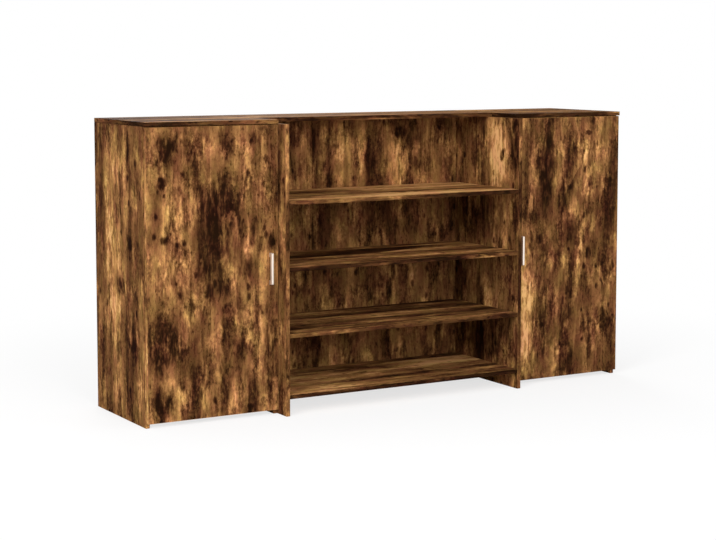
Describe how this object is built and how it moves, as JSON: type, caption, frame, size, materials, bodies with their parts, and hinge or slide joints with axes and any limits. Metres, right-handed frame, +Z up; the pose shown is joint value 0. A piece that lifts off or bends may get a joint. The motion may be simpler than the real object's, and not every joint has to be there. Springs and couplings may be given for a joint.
{
  "type": "reception desk",
  "caption": "Free-standing reception desk with tall hinged-door cabinets flanking an open shelf unit, a work shelf at desk height and a raised counter.",
  "frame": {"origin": "middle of the desk's footprint, on the floor", "axes": "+X along the desk, to the right of someone at the work shelf; +Y to the customer side; +Z up"},
  "size_m": [2, 0.5, 1.035],
  "materials": {
    "smoked_oak_board": "melamine-faced particle board with a rustic smoked-oak decor and matching edge banding, matt",
    "satin_nickel": "satin nickel-plated zinc casting",
    "plated_steel": "bright nickel- or zinc-plated pressed steel",
    "zinc_casting": "bare zinc die casting",
    "beech_dowel": "bare fluted beech",
    "clear_bumper": "soft clear polyurethane"
  },
  "bodies": {
    "base": {"base_shelf": "smoked_oak_board", "counter_top": "smoked_oak_board", "front_panel": "smoked_oak_board", "left_back": "smoked_oak_board", "left_bottom": "smoked_oak_board", "left_cam_bolts": "plated_steel", "left_cam_locks": "zinc_casting", "left_dowels": "beech_dowel", "left_hinge_arms": "plated_steel", "left_hinge_plates": "plated_steel", "left_hinge_rivets": "plated_steel", "left_inner_side": "smoked_oak_board", "left_joining_screws": "plated_steel", "left_lower_shelf": "smoked_oak_board", "left_outer_side": "smoked_oak_board", "left_plate_screws": "plated_steel", "left_shelf_pins": "plated_steel", "left_top": "smoked_oak_board", "left_upper_shelf": "smoked_oak_board", "lower_bay_shelf": "smoked_oak_board", "middle_cam_bolts": "plated_steel", "middle_cam_locks": "zinc_casting", "middle_dowels": "beech_dowel", "middle_left_side": "smoked_oak_board", "middle_right_side": "smoked_oak_board", "middle_shelf_pins": "plated_steel", "right_back": "smoked_oak_board", "right_bottom": "smoked_oak_board", "right_cam_bolts": "plated_steel", "right_cam_locks": "zinc_casting", "right_dowels": "beech_dowel", "right_hinge_arms": "plated_steel", "right_hinge_plates": "plated_steel", "right_hinge_rivets": "plated_steel", "right_inner_side": "smoked_oak_board", "right_joining_screws": "plated_steel", "right_lower_shelf": "smoked_oak_board", "right_outer_side": "smoked_oak_board", "right_plate_screws": "plated_steel", "right_shelf_pins": "plated_steel", "right_top": "smoked_oak_board", "right_upper_shelf": "smoked_oak_board", "upper_bay_shelf": "smoked_oak_board", "work_shelf": "smoked_oak_board"},
    "left_door": {"left_door": "smoked_oak_board", "left_door_pull": "satin_nickel", "left_pull_screws": "plated_steel", "left_hinge_cups": "plated_steel", "left_cup_screws": "plated_steel", "left_door_bumpers": "clear_bumper"},
    "left_links": {"left_hinge_links": "plated_steel"},
    "right_door": {"right_door": "smoked_oak_board", "right_door_pull": "satin_nickel", "right_pull_screws": "plated_steel", "right_hinge_cups": "plated_steel", "right_cup_screws": "plated_steel", "right_door_bumpers": "clear_bumper"},
    "right_links": {"right_hinge_links": "plated_steel"}
  },
  "joints": [
    {"name": "left_door_swing", "type": "hinge", "parent": "base", "child": "left_door", "pos_m": [-0.993, -0.19, 0.51725], "axis": [0, 0, -1], "range_deg": [0, 105]},
    {"name": "left_link_turn", "type": "hinge", "parent": "base", "child": "left_links", "pos_m": [-0.976, -0.1895, 0.51725], "axis": [0, 0, 1], "range_deg": [0, 57]},
    {"name": "right_door_swing", "type": "hinge", "parent": "base", "child": "right_door", "pos_m": [0.993, -0.19, 0.51725], "axis": [0, 0, 1], "range_deg": [0, 105]},
    {"name": "right_link_turn", "type": "hinge", "parent": "base", "child": "right_links", "pos_m": [0.976, -0.1895, 0.51725], "axis": [0, 0, -1], "range_deg": [0, 57]}
  ],
  "couplings": [
    {"joint": "left_link_turn", "follows": "left_door_swing", "ratio": 0.54},
    {"joint": "right_link_turn", "follows": "right_door_swing", "ratio": 0.54}
  ]
}
